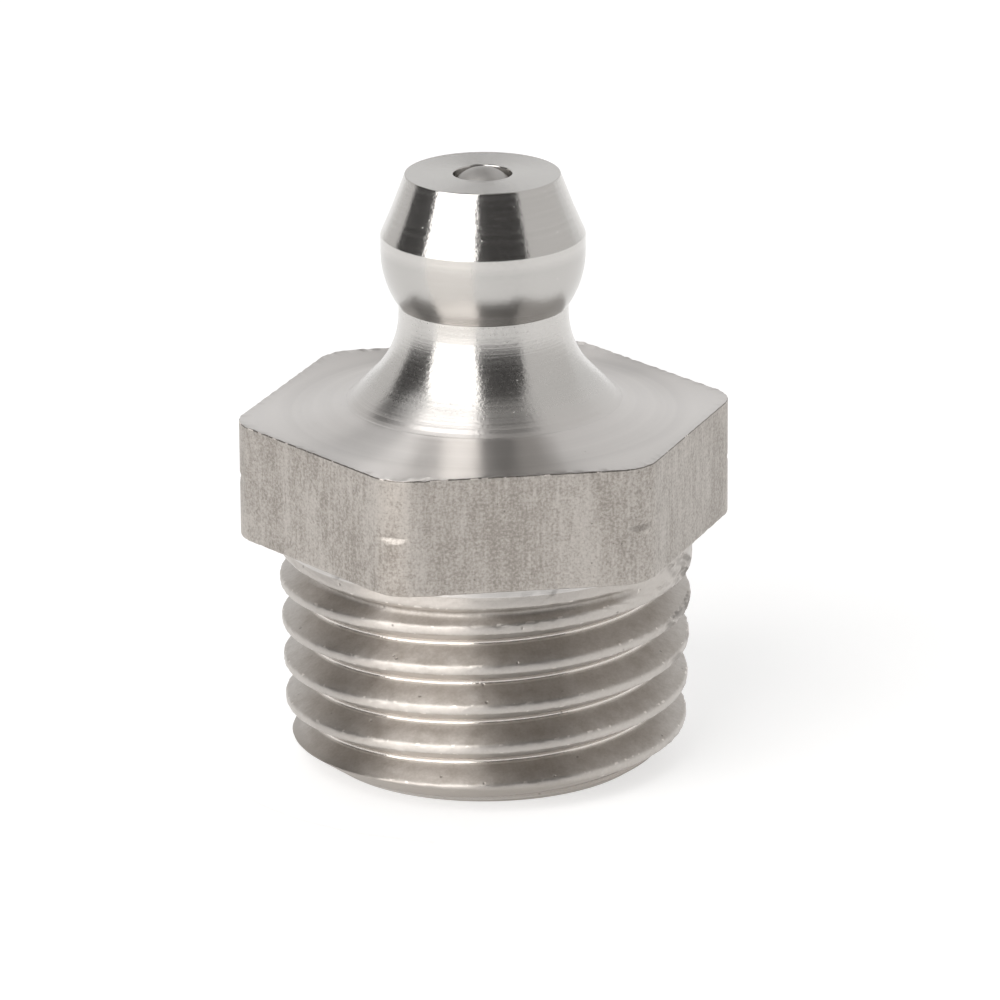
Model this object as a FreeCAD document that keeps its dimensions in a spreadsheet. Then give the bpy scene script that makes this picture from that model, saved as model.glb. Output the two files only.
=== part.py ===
import FreeCAD, Part
import math
import os
import Sketcher

# A straight grease nipple: a turned body with a conical gun head, a spanner hexagon and a
# tapered pipe thread, and inside its bore a check ball held against a seat by a coil spring.
#
# Frame: +Z along the axis, from the thread end towards the head. The origin is the centre of
# the thread's end face. Two corners of the hexagon lie on the X axis. Lengths are millimetres.

DIMENSIONS = (
    # threaded shank, 1/4 inch taper pipe thread, 19 turns to the inch, 1 in 16 on diameter
    ("shank_length", 7.6, "end face to the underside of the hexagon"),
    ("shank_radius", 6.63, "plain collar and thread crest under the hexagon"),
    ("collar_length", 0.5, "plain cylinder between the thread and the hexagon"),
    ("taper_angle", 1.79, "thread cone's half angle, degrees"),
    ("end_radius", 5.2, "end face"),
    ("end_chamfer", 0.84, "height of the lead-in cone"),
    ("thread_pitch", 1.337, "rise for each turn"),
    ("flank_angle", 27.5, "half of the 55 degree thread angle, degrees"),
    ("groove_depth", 0.86, "crest to root, along the radius"),
    ("crest_flat", 0.33, "width of the flat crest"),
    ("groove_start", -0.781, "height of the groove's centre where it starts, on the +X side"),
    ("groove_turns", 5.86, "turns of the groove, run-out included"),
    ("fading_turns", 0.43, "turns from the run-out's start to the end"),
    ("shallow_turns", 0.14, "last turns, over which the groove stays shallow"),
    ("tip_turns", 0.05, "last turns, over which it ends steeply"),
    ("fading_depth", 0.46, "depth lost before the shallow stretch"),
    ("fading_sink", 0.24, "how far the groove sinks before the shallow stretch"),
    ("shallow_depth", 0.12, "depth lost over the shallow stretch"),
    ("groove_margin", 0.2, "how far the thread cutter stands outside the crests"),
    # spanner hexagon
    ("hexagon_flats", 14.0, "across flats"),
    ("hexagon_height", 3.8, "underside to top"),
    ("corner_radius", 1.5, "rounding of the six corners"),
    ("ring_radius", 7.79, "bottom of the ring that nicks the corners at mid-height"),
    ("ring_slope", 2.0, "half width of the ring for each unit of its depth"),
    # neck and gun head
    ("foot_radius", 4.75, "foot of the neck's cone on the hexagon"),
    ("toe_radius", 5.9, "where the foot's shallow toe meets the hexagon's top"),
    ("toe_height", 0.36, "rise of the toe to the foot's cone"),
    ("neck_radius", 2.7, "narrowest part of the neck"),
    ("neck_fillet", 2.9, "hollow between the neck and its 45 degree foot"),
    ("neck_height", 3.55, "hexagon top to the head's lower edge"),
    ("lip_radius", 2.735, "head's lower edge"),
    ("head_radius", 3.25, "land that a grease gun's jaws grip"),
    ("bulge_radius", 3.0, "round underside of the head"),
    ("bulge_height", 1.7, "head's lower edge to the land"),
    ("land_height", 0.57, "length of the land"),
    ("cone_height", 1.96, "land to the top face"),
    ("top_radius", 2.46, "top face"),
    # bore
    ("inlet_radius", 0.93, "grease inlet in the top face"),
    ("inlet_depth", 0.311, "length of the inlet above the seat"),
    ("seat_angle", 30.0, "half angle of the ball's seat, degrees"),
    ("bore_radius", 1.35, "bore that holds the ball and the spring"),
    ("outlet_radius", 0.85, "mouth left by the lip that is staked in over the spring"),
    ("staked_height", 0.8, "height of the staked lip"),
    # ball and spring
    ("ball_radius", 1.1, "check ball"),
    ("seat_gap", 0.01, "play between the ball and its seat"),
    ("wire_radius", 0.15, "spring wire"),
    ("coil_radius", 1.0, "centre of the wire to the axis"),
    ("coil_gap", 0.02, "play at each end of the spring"),
    ("coil_turns", 14.0, "turns of wire"),
)

HEXAGON_TOP = "dims.shank_length + dims.hexagon_height"
LIP_Z = HEXAGON_TOP + " + dims.neck_height"
LAND_Z = LIP_Z + " + dims.bulge_height"
CONE_Z = LAND_Z + " + dims.land_height"
TOP_Z = CONE_Z + " + dims.cone_height"
SEAT_Z = TOP_Z + " - dims.inlet_depth"
# The 45 degree foot is tangent to the hollow, so its height follows from the two radii.
HOLLOW_DROP = "dims.neck_fillet * (1 - cos(45))"
FOOT_RISE = "(dims.foot_radius - dims.neck_radius - " + HOLLOW_DROP + ")"
# Ball centre: the ball touches a cone whose tip lies above the inlet's lower edge.
BALL_Z = (SEAT_Z + " + dims.inlet_radius / tan(dims.seat_angle)"
          " - (dims.ball_radius + dims.seat_gap) / sin(dims.seat_angle)")
# Spring: its wire's centre rises from the staked lip to where the wire meets the ball.
COIL_LOW_Z = "dims.staked_height + dims.wire_radius + dims.coil_gap"
COIL_HIGH_Z = (BALL_Z + " - dims.coil_gap"
               " - sqrt((dims.ball_radius + dims.wire_radius)^2 - dims.coil_radius^2)")

# Angle between the points of the thread's corner curves, in degrees.
CURVE_STEP = 15


def make_sheet(doc):
    """Put the driving dimensions in a spreadsheet, one aliased cell each."""
    sheet = doc.addObject("Spreadsheet::Sheet", "dims")
    for row, (alias, value, note) in enumerate(DIMENSIONS, start=1):
        sheet.set(f"A{row}", note)
        sheet.set(f"B{row}", str(value))
        sheet.setAlias(f"B{row}", alias)
    doc.recompute()
    return sheet


def number(sketch, expression):
    """The value that an expression over the sheet has now."""
    return float(sketch.evalExpression(expression))


def new_sketch(body, name, plane_role):
    """A sketch on one of the body's own origin planes."""
    sketch = body.newObject("Sketcher::SketchObject", name)
    planes = [item for item in body.Origin.OriginFeatures if item.Role == plane_role]
    sketch.AttachmentSupport = [(planes[0], "")]
    sketch.MapMode = "FlatFace"
    return sketch


def bind(sketch, kind, *arguments):
    """Add a dimension to a sketch and bind it to an expression, the last argument."""
    *places, expression = arguments
    index = sketch.addConstraint(Sketcher.Constraint(kind, *places, number(sketch, expression)))
    sketch.setExpression(f"Constraints[{index}]", expression)


def draw_outline(sketch, corners):
    """Draw a closed outline. A corner is (x, y) or, where the side that leaves it is an arc,
    (x, y, radius, side): side is +1 or -1 for an arc that turns left or right."""
    points = [FreeCAD.Vector(number(sketch, c[0]), number(sketch, c[1]), 0) for c in corners]
    for index, corner in enumerate(corners):
        start = points[index]
        end = points[(index + 1) % len(points)]
        if len(corner) == 2:
            sketch.addGeometry(Part.LineSegment(start, end), False)
        else:
            add_arc(sketch, start, end, number(sketch, corner[2]), corner[3])
    for index, corner in enumerate(corners):
        previous = (index - 1) % len(corners)
        own, end_of_previous = corner_ends(corners, index, previous)
        sketch.addConstraint(Sketcher.Constraint("Coincident", previous, end_of_previous, index, own))
        place(sketch, index, own, corner[0], corner[1])
    for index, corner in enumerate(corners):
        if len(corner) == 4:
            bind(sketch, "Radius", index, corner[2])


def corner_ends(corners, index, previous):
    """Which end (1 start, 2 end) of a side, and of the side before it, lies at its corner."""
    def turned(corner):
        return len(corner) == 4 and corner[3] < 0
    own = 2 if turned(corners[index]) else 1
    end_of_previous = 1 if turned(corners[previous]) else 2
    return own, end_of_previous


def place(sketch, side, end, x_expression, y_expression):
    """Fix one end of a side by its distances from the sketch's origin."""
    if x_expression == "0":
        sketch.addConstraint(Sketcher.Constraint("PointOnObject", side, end, -2))
    else:
        bind(sketch, "DistanceX", -1, 1, side, end, x_expression)
    if y_expression == "0":
        sketch.addConstraint(Sketcher.Constraint("PointOnObject", side, end, -1))
    else:
        bind(sketch, "DistanceY", -1, 1, side, end, y_expression)


def add_arc(sketch, start, end, radius, side):
    """Add an arc of a circle from start to end. A sketch's arcs run anticlockwise, so one
    that turns right is drawn from its end back to its start."""
    chord = end - start
    middle = (start + end) * 0.5
    offset = math.sqrt(radius ** 2 - (chord.Length / 2) ** 2)
    normal = FreeCAD.Vector(-chord.y, chord.x, 0).normalize()
    centre = middle + normal * (offset * side)
    first, last = (start, end) if side > 0 else (end, start)
    circle = Part.Circle(centre, FreeCAD.Vector(0, 0, 1), radius)
    low = math.atan2(first.y - centre.y, first.x - centre.x)
    high = math.atan2(last.y - centre.y, last.x - centre.x)
    sketch.addGeometry(Part.ArcOfCircle(circle, low, high), False)


def revolve(body, kind, name, corners):
    """Revolve an outline in the XZ plane about Z: kind is Revolution or Groove."""
    sketch = new_sketch(body, name + "_outline", "XZ_Plane")
    draw_outline(sketch, corners)
    feature = body.newObject("PartDesign::" + kind, name)
    feature.Profile = sketch
    feature.ReferenceAxis = (sketch, ["V_Axis"])
    feature.Angle = 360.0
    return feature


def make_plain_body(doc):
    """The body before its thread is cut."""
    body = doc.addObject("PartDesign::Body", "plain_body")
    turn_blank(body)
    add_hexagon(body)
    doc.recompute()
    round_corners(body)
    cut_ring(body)
    cut_bore(body)
    return body


def turn_blank(body):
    """Everything that is round about the axis, without the hexagon."""
    chamfer_radius = "dims.shank_radius - (dims.shank_length - dims.end_chamfer) * tan(dims.taper_angle)"
    collar_z = "dims.shank_length - dims.collar_length"
    revolve(body, "Revolution", "blank", (
        ("0", "0"),
        ("dims.end_radius", "0"),
        (chamfer_radius, "dims.end_chamfer"),
        ("dims.shank_radius", collar_z),
        ("dims.shank_radius", "dims.shank_length"),
        ("dims.toe_radius", "dims.shank_length"),
        ("dims.toe_radius", HEXAGON_TOP),
        ("dims.foot_radius - dims.toe_height", HEXAGON_TOP + " + dims.toe_height"),
        ("dims.neck_radius + " + HOLLOW_DROP, HEXAGON_TOP + " + " + FOOT_RISE, "dims.neck_fillet", -1),
        ("dims.neck_radius", HEXAGON_TOP + " + " + FOOT_RISE + " + dims.neck_fillet * sin(45)"),
        ("dims.neck_radius", LIP_Z),
        ("dims.lip_radius", LIP_Z, "dims.bulge_radius", 1),
        ("dims.head_radius", LAND_Z),
        ("dims.head_radius", CONE_Z),
        ("dims.top_radius", TOP_Z),
        ("0", TOP_Z),
    ))


def add_hexagon(body):
    """The spanner hexagon, with two of its corners on the X axis."""
    sketch = new_sketch(body, "hexagon_outline", "XY_Plane")
    sketch.setExpression("AttachmentOffset.Base.z", "dims.shank_length")
    corner = "dims.hexagon_flats / (2 * cos(30))"
    corners = []
    for index in range(6):
        angle = 60 * index
        x_expression = corner + f" * cos({angle})"
        y_expression = "0" if index in (0, 3) else corner + f" * sin({angle})"
        corners.append((x_expression, y_expression))
    draw_outline(sketch, corners)
    pad = body.newObject("PartDesign::Pad", "hexagon")
    pad.Profile = sketch
    pad.setExpression("Length", "dims.hexagon_height")


def round_corners(body):
    """Round the hexagon's six upright edges."""
    hexagon = body.Tip
    corner_reach = 0.55 * number(hexagon, "dims.hexagon_flats")
    names = []
    for index, edge in enumerate(hexagon.Shape.Edges, start=1):
        low, high = edge.Vertexes[0].Point, edge.Vertexes[-1].Point
        upright = math.hypot(low.x - high.x, low.y - high.y) < 1e-6 and abs(low.z - high.z) > 1
        if upright and math.hypot(low.x, low.y) > corner_reach:
            names.append(f"Edge{index}")
    fillet = body.newObject("PartDesign::Fillet", "corner_rounding")
    fillet.Base = (hexagon, names)
    fillet.setExpression("Radius", "dims.corner_radius")
    body.Tip = fillet


def cut_ring(body):
    """A V-shaped ring at the hexagon's mid-height, so shallow that it nicks only the corners."""
    middle = "dims.shank_length + dims.hexagon_height / 2"
    outside = "dims.hexagon_flats / (2 * cos(30))"
    half_width = "(" + outside + " - dims.ring_radius) * dims.ring_slope"
    revolve(body, "Groove", "ring", (
        ("dims.ring_radius", middle),
        (outside, middle + " - " + half_width),
        (outside, middle + " + " + half_width),
    ))


def cut_bore(body):
    """The grease way: inlet, ball seat, bore for the ball and spring, and staked outlet."""
    seat_drop = "(dims.bore_radius - dims.inlet_radius) / tan(dims.seat_angle)"
    revolve(body, "Groove", "bore", (
        ("0", "0"),
        ("dims.outlet_radius", "0"),
        ("dims.outlet_radius", "dims.staked_height"),
        ("dims.bore_radius", "dims.staked_height"),
        ("dims.bore_radius", SEAT_Z + " - " + seat_drop),
        ("dims.inlet_radius", SEAT_Z),
        ("dims.inlet_radius", TOP_Z),
        ("0", TOP_Z),
    ))


def progress(value, start, end):
    """How far a value has come from a start to an end: 0 before it and 1 after it."""
    return min(1, max(0, (value - start) / (end - start)))


def groove_path(sheet, radius, height, angle):
    """A point of the thread cutter: radius and height are its place in the section at angle 0.
    The cutter climbs the taper. In the run-out it eases out and a little down, leaves a shallow
    groove for a stretch, and at the tip draws out of the metal."""
    rise = sheet.thread_pitch * angle / 360
    turn = angle / 360
    shallow_start = sheet.groove_turns - sheet.shallow_turns
    tip_start = sheet.groove_turns - sheet.tip_turns
    fading = progress(turn, sheet.groove_turns - sheet.fading_turns, shallow_start)
    fading = fading ** 2 * (3 - 2 * fading)
    shallow = progress(turn, shallow_start, tip_start)
    tip = progress(turn, tip_start, sheet.groove_turns)
    tip_depth = sheet.groove_depth + sheet.groove_margin / 4
    tip_depth -= sheet.fading_depth + sheet.shallow_depth
    drawn_back = sheet.fading_depth * fading + sheet.shallow_depth * shallow
    drawn_back += tip_depth * tip ** 2
    at_radius = radius + rise * math.tan(math.radians(sheet.taper_angle)) + drawn_back
    turned = math.radians(angle)
    return FreeCAD.Vector(
        at_radius * math.cos(turned),
        at_radius * math.sin(turned),
        height + rise - sheet.fading_sink * fading,
    )


def groove_section(sheet):
    """The cutter's four corners (radius, height) where the groove starts, in order round it."""
    below_collar = sheet.shank_length - sheet.groove_start
    crest = sheet.shank_radius - below_collar * math.tan(math.radians(sheet.taper_angle))
    flank = math.tan(math.radians(sheet.flank_angle))
    crest_half = (sheet.thread_pitch - sheet.crest_flat) / 2
    root_half = crest_half - sheet.groove_depth * flank
    outside_half = crest_half + sheet.groove_margin * flank
    root = crest - sheet.groove_depth
    outside = crest + sheet.groove_margin
    return (
        (root, sheet.groove_start - root_half),
        (outside, sheet.groove_start - outside_half),
        (outside, sheet.groove_start + outside_half),
        (root, sheet.groove_start + root_half),
    )


def thread_cutters(sheet):
    """The right-handed helical groove as a chain of solids, about a turn each, that meet end
    to end. Each has four ruled sides. The groove fades out at the top, which no helix feature
    does, and a cone cuts cleanly only with short solids."""
    whole_angle = 360 * sheet.groove_turns
    step_count = math.ceil(whole_angle / CURVE_STEP)
    angles = [whole_angle * step / step_count for step in range(step_count + 1)]
    curves = []
    for radius, height in groove_section(sheet):
        points = [groove_path(sheet, radius, height, angle) for angle in angles]
        curve = Part.BSplineCurve()
        curve.interpolate(Points=points, Parameters=angles)
        curves.append(curve)
    turn_count = math.ceil(sheet.groove_turns)
    ends = [whole_angle * turn / turn_count for turn in range(turn_count + 1)]
    return [ruled_solid(curves, low, high) for low, high in zip(ends, ends[1:])]


def ruled_solid(curves, low, high):
    """The solid between four corner curves, from one parameter to another."""
    edges = [curve.toShape(low, high) for curve in curves]
    faces = [Part.makeRuledSurface(edges[side], edges[(side + 1) % 4]) for side in range(4)]
    for end in (0, -1):
        corners = [edge.Vertexes[end].Point for edge in edges]
        faces.append(Part.Face(Part.makePolygon(corners + corners[:1])))
    shell = Part.Shell(faces)
    shell.sewShape()
    return Part.Solid(shell)


def make_nipple_body(doc, sheet):
    """The turned body: shank, hexagon, neck and head, with the bore and the thread cut in it."""
    nipple = make_plain_body(doc)
    for index, solid in enumerate(thread_cutters(sheet), start=1):
        cutter = doc.addObject("Part::Feature", f"thread_groove_{index}")
        cutter.Shape = solid
        cut = doc.addObject("Part::Cut", f"threaded_body_{index}")
        cut.Base = nipple
        cut.Tool = cutter
        nipple = cut
    nipple.Label = "nipple_body"
    return nipple


def make_check_ball(doc):
    """The ball that closes the inlet, standing a little above the top face."""
    ball = doc.addObject("Part::Sphere", "check_ball")
    ball.Label = "check_ball"
    ball.setExpression("Radius", "dims.ball_radius")
    ball.setExpression("Placement.Base.z", BALL_Z)
    return ball


def make_ball_spring(doc):
    """The coil spring between the staked lip and the ball."""
    body = doc.addObject("PartDesign::Body", "ball_spring")
    body.Label = "ball_spring"
    sketch = new_sketch(body, "wire_section", "XZ_Plane")
    centre = FreeCAD.Vector(number(sketch, "dims.coil_radius"), number(sketch, COIL_LOW_Z), 0)
    radius = number(sketch, "dims.wire_radius")
    sketch.addGeometry(Part.Circle(centre, FreeCAD.Vector(0, 0, 1), radius), False)
    place(sketch, 0, 3, "dims.coil_radius", COIL_LOW_Z)
    bind(sketch, "Radius", 0, "dims.wire_radius")
    coil = body.newObject("PartDesign::AdditiveHelix", "coil")
    coil.Profile = sketch
    coil.ReferenceAxis = (sketch, ["V_Axis"])
    coil.Mode = "height-turns-angle"
    coil.setExpression("Height", COIL_HIGH_Z + " - (" + COIL_LOW_Z + ")")
    coil.setExpression("Turns", "dims.coil_turns")
    coil.Angle = 0.0
    return body


def check(doc, sub_parts):
    """Stop if any object failed to recompute or any sub-part has no valid solid."""
    for item in doc.Objects:
        failed = [state for state in item.State if state in ("Invalid", "Error")]
        if failed:
            raise RuntimeError(f"{item.Name} is {failed[0]}")
    for part in sub_parts:
        if part.Shape.isNull() or not part.Shape.isValid() or len(part.Shape.Solids) != 1:
            raise RuntimeError(f"{part.Label} has no single valid solid")


def main():
    doc = FreeCAD.newDocument("grease_nipple")
    sheet = make_sheet(doc)
    sub_parts = [make_nipple_body(doc, sheet), make_check_ball(doc), make_ball_spring(doc)]
    doc.recompute()
    check(doc, sub_parts)
    os.makedirs("parts", exist_ok=True)
    for part in sub_parts:
        part.Shape.exportStep(f"parts/{part.Label}.step")
        box = part.Shape.BoundBox
        print(f"{part.Label}: {part.Shape.Volume:.3f} mm3, z {box.ZMin:.3f} to {box.ZMax:.3f}")


main()
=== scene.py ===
import math

import bpy
import numpy as np
from mathutils import Matrix, Vector


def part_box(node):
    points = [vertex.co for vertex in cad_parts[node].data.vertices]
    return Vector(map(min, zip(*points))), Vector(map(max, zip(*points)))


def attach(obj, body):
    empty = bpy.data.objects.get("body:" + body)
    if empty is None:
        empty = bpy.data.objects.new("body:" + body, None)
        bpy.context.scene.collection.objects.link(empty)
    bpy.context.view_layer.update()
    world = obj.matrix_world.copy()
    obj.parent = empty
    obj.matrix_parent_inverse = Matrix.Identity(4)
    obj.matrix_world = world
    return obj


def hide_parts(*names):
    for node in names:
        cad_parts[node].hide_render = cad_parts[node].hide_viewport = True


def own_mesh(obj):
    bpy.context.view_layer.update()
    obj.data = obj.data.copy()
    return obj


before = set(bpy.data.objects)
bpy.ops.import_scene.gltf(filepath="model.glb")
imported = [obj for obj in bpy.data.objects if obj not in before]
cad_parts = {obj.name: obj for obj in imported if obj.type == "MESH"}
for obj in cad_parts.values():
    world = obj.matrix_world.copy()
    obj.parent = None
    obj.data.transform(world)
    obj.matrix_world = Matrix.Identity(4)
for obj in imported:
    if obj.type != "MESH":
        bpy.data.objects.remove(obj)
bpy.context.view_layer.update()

bl_info = {
    "name": "Grease nipple",
    "version": (1, 0, 0),
    "blender": (4, 5, 0),
    "location": "3D View > Sidebar > Nipple",
    "description": "Turned grease nipple with a check ball and a spring, on its own studio stage",
    "category": "Add Mesh",
}

# Every shape below is worked out in millimetres and stored in metres.
MM = 0.001
FULL_TURN = 2 * math.pi

# Heights of the body's turned levels, and its radii.
THREAD_TOP = 7.3
HEXAGON_LOW = 7.6
HEXAGON_HIGH = 11.4
FLAT = 7.0
CORNER_CENTRE = 6.351
CORNER_RADIUS = 1.5
# Angle from a corner's middle at which its arc meets the flat, square to the flat.
CORNER_SPAN = math.atan2(
    CORNER_RADIUS / 2, CORNER_CENTRE + CORNER_RADIUS * math.cos(math.pi / 6)
)
RING_HEIGHT = 9.5
RING_RADIUS = 7.775
RING_SLOPE = 0.4
END_RADIUS = 5.2
END_CHAMFER = 0.84
CHAMFER_RADIUS = 6.419
SHANK_RADIUS = 6.63
COLLAR_LOW = 7.1
TOE_RADIUS = 5.9
TOE_HEIGHT = 0.36
FOOT_RADIUS = 4.39
HOLLOW_RADIUS = 2.9
HOLLOW_CENTRE = (5.6, 14.65)
BULGE_RADIUS = 3.0
BULGE_CENTRE = (0.25, 16.65)
HEAD_RADIUS = 3.25
LAND_TOP = 17.22
HEAD_TOP = 19.18
TOP_RADIUS = 2.46

# Thread: the groove is a V whose centre climbs one pitch a turn.
PITCH = 1.337
FLANK_SLOPE = math.tan(math.radians(27.5))
GROOVE_DEPTH = 0.86
CREST_FLAT = 0.28
MOUTH_HALF = (PITCH - CREST_FLAT) / 2
GROOVE_START = -0.781
ROOT_SOFTNESS = 0.09
CREST_SOFTNESS = 0.08
CREST_REST = 0.006
# Run-out: the turns at which it starts, turns shallow, starts its tip and ends, and the depth
# lost on each stretch.
RUN_OUT_START = 5.43
RUN_OUT_SHALLOW = 5.72
RUN_OUT_TIP = 5.81
GROOVE_TURNS = 5.86
FADING_DEPTH = 0.46
FADING_SINK = 0.24
SHALLOW_DEPTH = 0.12
TIP_DEPTH = 0.33
# Knocks on the crests: the middle and the spread of where they lie, and their depth.
DENTED_ANGLE = math.radians(335)
DENTED_SPREAD = 0.22
DENT_DEPTH = 0.17

# Columns of the mesh round the body.
COLUMNS = 336

# Camera: its roll and where the nipple lies off its centre, as slopes, and its lens.
CAMERA_ROLL = -0.0076
CAMERA_AIM = (-0.0020946, 0.012276)
LENS_LENGTH = 269.36
# The lamps and cloths of the tent stand this far off, the overhead ones a little nearer, and
# the patch of light on the table hovers over it.
TENT_REACH = 0.6
OVERHEAD_REACH = 0.54
PATCH_LIFT = 0.0001

# Which way a finish's marks run, as the metal shader counts it, in turns.
ROUND_GRAIN = 0.25
UPRIGHT_GRAIN = 0.0

# Where a pitch is sampled, as shares of it from the groove's centre.
PITCH_ROWS = np.array(
    [-0.060, -0.030, 0.0, 0.030, 0.060, 0.120, 0.190, 0.260, 0.315, 0.345, 0.365, 0.383,
     0.405, 0.435, 0.500, 0.565, 0.595, 0.617, 0.635, 0.655, 0.685, 0.740, 0.810, 0.880]
)


def soft_least(first, second, softness):
    """The lesser of two surfaces, rounded where they cross: half of their sum less the root of
    their difference squared plus the softness squared."""
    return (first + second - np.sqrt((first - second) ** 2 + softness ** 2)) / 2


def soft_most(first, second, softness):
    """The greater of two surfaces, rounded where they cross in the same way."""
    return (first + second + np.sqrt((first - second) ** 2 + softness ** 2)) / 2


def waviness(angle, seed, low, high):
    """An uneven line round the axis, about 1 high: a sum of sines whose whole numbers of waves
    lie between low and high, each with a random start."""
    draw = np.random.default_rng(seed)
    waves = draw.integers(low, high, 14)
    starts = draw.uniform(0, FULL_TURN, 14)
    total = np.sin(angle[..., None] * waves + starts).sum(-1)
    return total / math.sqrt(14)


def columns():
    """Angles of the mesh's columns, drawn together near the hexagon's corners: an even angle
    less a tenth of the sine of six times it."""
    even = np.arange(COLUMNS) * FULL_TURN / COLUMNS
    return even - 0.1 * np.sin(6 * even)


def hexagon_radius(angle):
    """Distance from the axis to the hexagon's side: the flat over the cosine of the angle from
    its middle, or the corner's arc where that is nearer the axis."""
    sixth = FULL_TURN / 6
    from_corner = (angle + sixth / 2) % sixth - sixth / 2
    flat = FLAT / np.cos(sixth / 2 - np.abs(from_corner))
    across = CORNER_CENTRE * np.sin(from_corner)
    reach = np.sqrt(np.maximum(CORNER_RADIUS ** 2 - across ** 2, 0))
    arc = CORNER_CENTRE * np.cos(from_corner) + reach
    return np.where(np.abs(from_corner) < CORNER_SPAN, arc, flat)


def groove_depth(angle, height):
    """Depth of the thread's groove below the crest. The nearest turn's centre is found, and the
    V's depth at that distance is cut off at the root and at the crest with rounded edges. In
    the run-out the V is drawn back and down to half its depth, stays shallow, and ends in a
    short steep tip."""
    share = angle / FULL_TURN
    turn = np.round((height - GROOVE_START) / PITCH - share) + share
    first = np.clip((turn - RUN_OUT_START) / (RUN_OUT_SHALLOW - RUN_OUT_START), 0, 1)
    first = first ** 2 * (3 - 2 * first)
    shallow = np.clip((turn - RUN_OUT_SHALLOW) / (RUN_OUT_TIP - RUN_OUT_SHALLOW), 0, 1)
    tip = np.clip((turn - RUN_OUT_TIP) / (GROOVE_TURNS - RUN_OUT_TIP), 0, 1)
    drawn_back = FADING_DEPTH * first + SHALLOW_DEPTH * shallow + TIP_DEPTH * tip ** 2
    centre = GROOVE_START + PITCH * turn - FADING_SINK * first
    side = (MOUTH_HALF - np.abs(height - centre)) / FLANK_SLOPE
    depth = soft_least(side, GROOVE_DEPTH, ROOT_SOFTNESS) - drawn_back
    depth = np.where(turn > GROOVE_TURNS, -0.5, depth)
    return np.maximum(soft_most(depth, 0, CREST_SOFTNESS) - CREST_REST, 0)


def thread_radius(angle, height):
    """Radius of the threaded shank: the taper less the groove, with its worn and knocked
    crests, held within the end's chamfer."""
    slope = (SHANK_RADIUS - CHAMFER_RADIUS) / (COLLAR_LOW - END_CHAMFER)
    taper = np.minimum(CHAMFER_RADIUS + (height - END_CHAMFER) * slope, SHANK_RADIUS)
    chamfer = END_RADIUS + height * (CHAMFER_RADIUS - END_RADIUS) / END_CHAMFER
    depth = groove_depth(angle, height)
    at_crest = np.exp(-((depth - 0.03) / 0.06) ** 2)
    worn = 0.012 * waviness(angle + 0.9 * height / PITCH, 5, 20, 90)
    dented = np.exp(-((angle - DENTED_ANGLE) / DENTED_SPREAD) ** 2)
    dented = dented * np.clip((height - 3) / 2, 0, 1)
    dents = np.clip(waviness(angle + 0.35 * height, 6, 70, 130), 0, 1)
    crest = taper - depth + at_crest * (worn - DENT_DEPTH * dented * dents)
    within = soft_least(crest, chamfer, 0.03)
    return np.where(height <= 0, END_RADIUS, within)


def rounded(corners):
    """A profile's points with its corners rounded. At a corner with a radius, the two sides end
    a tangent's length from it and an arc joins them, with a support point just outside."""
    points = []
    for index, corner in enumerate(corners):
        here = np.array(corner[:3], float)
        radius = corner[3]
        if radius == 0:
            points.append(here)
            continue
        before = np.array(corners[index - 1][:3], float) - here
        after = np.array(corners[index + 1][:3], float) - here
        before_length = math.hypot(before[0], before[1])
        after_length = math.hypot(after[0], after[1])
        before, after = before / before_length, after / after_length
        half = math.acos(max(-1, min(1, before[0] * after[0] + before[1] * after[1]))) / 2
        tangent = radius / math.tan(half)
        steps = max(2, math.ceil((math.pi / 2 - half) * 2 / math.radians(24)))
        points.append(here + before * min(tangent * 1.5, before_length * 0.7))
        for share in np.linspace(0, 1, steps + 1):
            swept = (math.pi - 2 * half) * share
            start = here[:2] + before[:2] * tangent
            side = np.array([-before[1], before[0]])
            side = side if side @ after[:2] > 0 else -side
            at = start + side * radius * (1 - math.cos(swept))
            at = at - before[:2] * radius * math.sin(swept)
            weight = here[2] + (1 - share) * before[2] * tangent + share * after[2] * tangent
            points.append(np.array([at[0], at[1], weight]))
        points.append(here + after * min(tangent * 1.5, after_length * 0.7))
    return points


def arc(centre, radius, start, end, steps):
    """Profile points on an arc about a centre, from one angle to another, in degrees."""
    angles = np.radians(np.linspace(start, end, steps))
    return [
        (centre[0] + radius * math.cos(angle), centre[1] + radius * math.sin(angle), 0, 0)
        for angle in angles
    ]


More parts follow.
